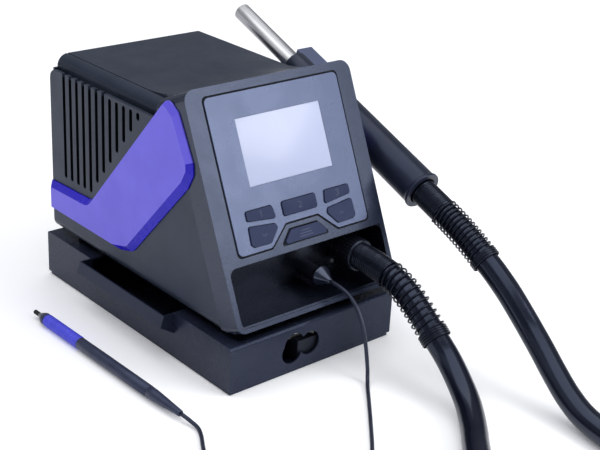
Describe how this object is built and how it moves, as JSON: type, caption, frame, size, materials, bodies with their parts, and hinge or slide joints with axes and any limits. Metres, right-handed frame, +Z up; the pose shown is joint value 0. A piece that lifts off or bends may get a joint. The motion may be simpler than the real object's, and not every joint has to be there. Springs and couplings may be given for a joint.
{
  "type": "hot air station",
  "caption": "Bench hot air rework station: sloping control front on a low base box, air handle in a side cradle with a spring-guarded hose, and a vacuum pick-up pen.",
  "frame": {"origin": "on the table under the middle of the base box's bottom plate", "axes": "+Z up, the control front faces -Y, +X to the right of someone who faces the front"},
  "size_m": [0.2735, 0.6425, 0.215],
  "materials": {
    "case_paint": "fine black texture paint on folded steel",
    "plated_steel": "zinc plated",
    "black_screws": "black oxide",
    "black_plastic": "moulded, matt",
    "black_rubber": "matt",
    "bright_steel": "turned and polished",
    "trim_purple": "fine satin",
    "front_plastic": "satin moulding",
    "face_grey": "satin film",
    "display_glass": "switched off, pale",
    "button_grey": "satin",
    "circuit_board": "solder mask",
    "transformer_iron": "laminated, varnished",
    "rocker_red": "gloss",
    "light_white": "clear lens",
    "impeller_white": "moulded",
    "duct_silicone": "silicone",
    "nut_black": "moulded, ribbed",
    "spring_black": "black coated spring wire",
    "hose_black": "smooth silicone",
    "handle_black": "satin soft-touch",
    "heater_steel": "brushed, slightly heat tinted",
    "heater_ceramic": "matt",
    "clear_tube": "clear silicone",
    "plug_grey": "smooth",
    "tie_fabric": "hook and loop",
    "pen_metal": "satin",
    "pen_blue": "ribbed grip",
    "pen_black": "satin"
  },
  "bodies": {
    "station": {"base_box": "case_paint", "base_plate": "case_paint", "base_screws": "black_screws", "nozzle_rack": "black_plastic", "spare_nozzle": "bright_steel", "chassis": "plated_steel", "case_feet": "black_rubber", "foot_screws": "black_screws", "top_cover": "case_paint", "side_panel_left": "case_paint", "side_panel_right": "case_paint", "trim_left": "trim_purple", "trim_right": "trim_purple", "back_panel": "case_paint", "back_screws": "black_screws", "mains_inlet": "black_plastic", "power_switch_frame": "black_plastic", "bezel": "front_plastic", "face_plate": "face_grey", "display_window": "display_glass", "display_module": "plated_steel", "button_board": "circuit_board", "status_light": "light_white", "main_board": "circuit_board", "transformer": "transformer_iron", "blower_housing": "black_plastic", "blower_motor": "plated_steel", "air_duct": "duct_silicone", "hose_port": "plated_steel", "hose_nut": "nut_black", "hose_guard_station": "spring_black", "hose": "hose_black", "cradle": "case_paint", "cradle_liner": "black_rubber", "cradle_screws": "black_screws", "vacuum_pump": "plated_steel", "pump_tube": "clear_tube", "vacuum_port": "black_plastic", "vacuum_plug": "plug_grey", "vacuum_tube": "hose_black", "vacuum_coil": "hose_black", "coil_tie": "tie_fabric", "pen_tube": "hose_black"},
    "handle": {"hose_guard_handle": "spring_black", "handle_shell": "handle_black", "heater_shroud": "handle_black", "heater_tube": "heater_steel", "heater_core": "heater_ceramic"},
    "pen": {"pen_nozzle": "pen_metal", "pen_grip": "pen_blue", "pen_barrel": "pen_black"},
    "button_one": {"button_one": "button_grey"},
    "button_two": {"button_two": "button_grey"},
    "button_three": {"button_three": "button_grey"},
    "button_down": {"button_down": "button_grey"},
    "button_up": {"button_up": "button_grey"},
    "button_menu": {"button_menu": "button_grey"},
    "power_rocker": {"power_rocker": "rocker_red"},
    "blower_impeller": {"blower_impeller": "impeller_white"},
    "fuse_drawer": {"fuse_drawer": "black_plastic"}
  },
  "joints": [
    {"name": "handle_lift", "type": "slide", "parent": "station", "child": "handle", "axis": [0, -0.3649, 0.9311], "range_m": [0, 0.025]},
    {"name": "pen_lift", "type": "slide", "parent": "station", "child": "pen", "axis": [0, 0, 1], "range_m": [0, 0.06]},
    {"name": "one_press", "type": "slide", "parent": "station", "child": "button_one", "axis": [0, 0.9135, -0.4067], "range_m": [0, 0.001], "stiffness_N_per_m": 500, "springref_m": -0.001},
    {"name": "two_press", "type": "slide", "parent": "station", "child": "button_two", "axis": [0, 0.9135, -0.4067], "range_m": [0, 0.001], "stiffness_N_per_m": 500, "springref_m": -0.001},
    {"name": "three_press", "type": "slide", "parent": "station", "child": "button_three", "axis": [0, 0.9135, -0.4067], "range_m": [0, 0.001], "stiffness_N_per_m": 500, "springref_m": -0.001},
    {"name": "down_press", "type": "slide", "parent": "station", "child": "button_down", "axis": [0, 0.9135, -0.4067], "range_m": [0, 0.001], "stiffness_N_per_m": 500, "springref_m": -0.001},
    {"name": "up_press", "type": "slide", "parent": "station", "child": "button_up", "axis": [0, 0.9135, -0.4067], "range_m": [0, 0.001], "stiffness_N_per_m": 500, "springref_m": -0.001},
    {"name": "menu_press", "type": "slide", "parent": "station", "child": "button_menu", "axis": [0, 0.9135, -0.4067], "range_m": [0, 0.001], "stiffness_N_per_m": 500, "springref_m": -0.001},
    {"name": "rocker_tilt", "type": "hinge", "parent": "station", "child": "power_rocker", "pos_m": [0.028, 0.11, 0.074], "axis": [1, 0, 0], "range_deg": [-8, 8]},
    {"name": "impeller_spin", "type": "hinge", "parent": "station", "child": "blower_impeller", "pos_m": [0.045, 0.008, 0.106], "axis": [1, 0, 0], "continuous": true},
    {"name": "fuse_drawer_slide", "type": "slide", "parent": "station", "child": "fuse_drawer", "axis": [0, 1, 0], "range_m": [0, 0.016]}
  ]
}
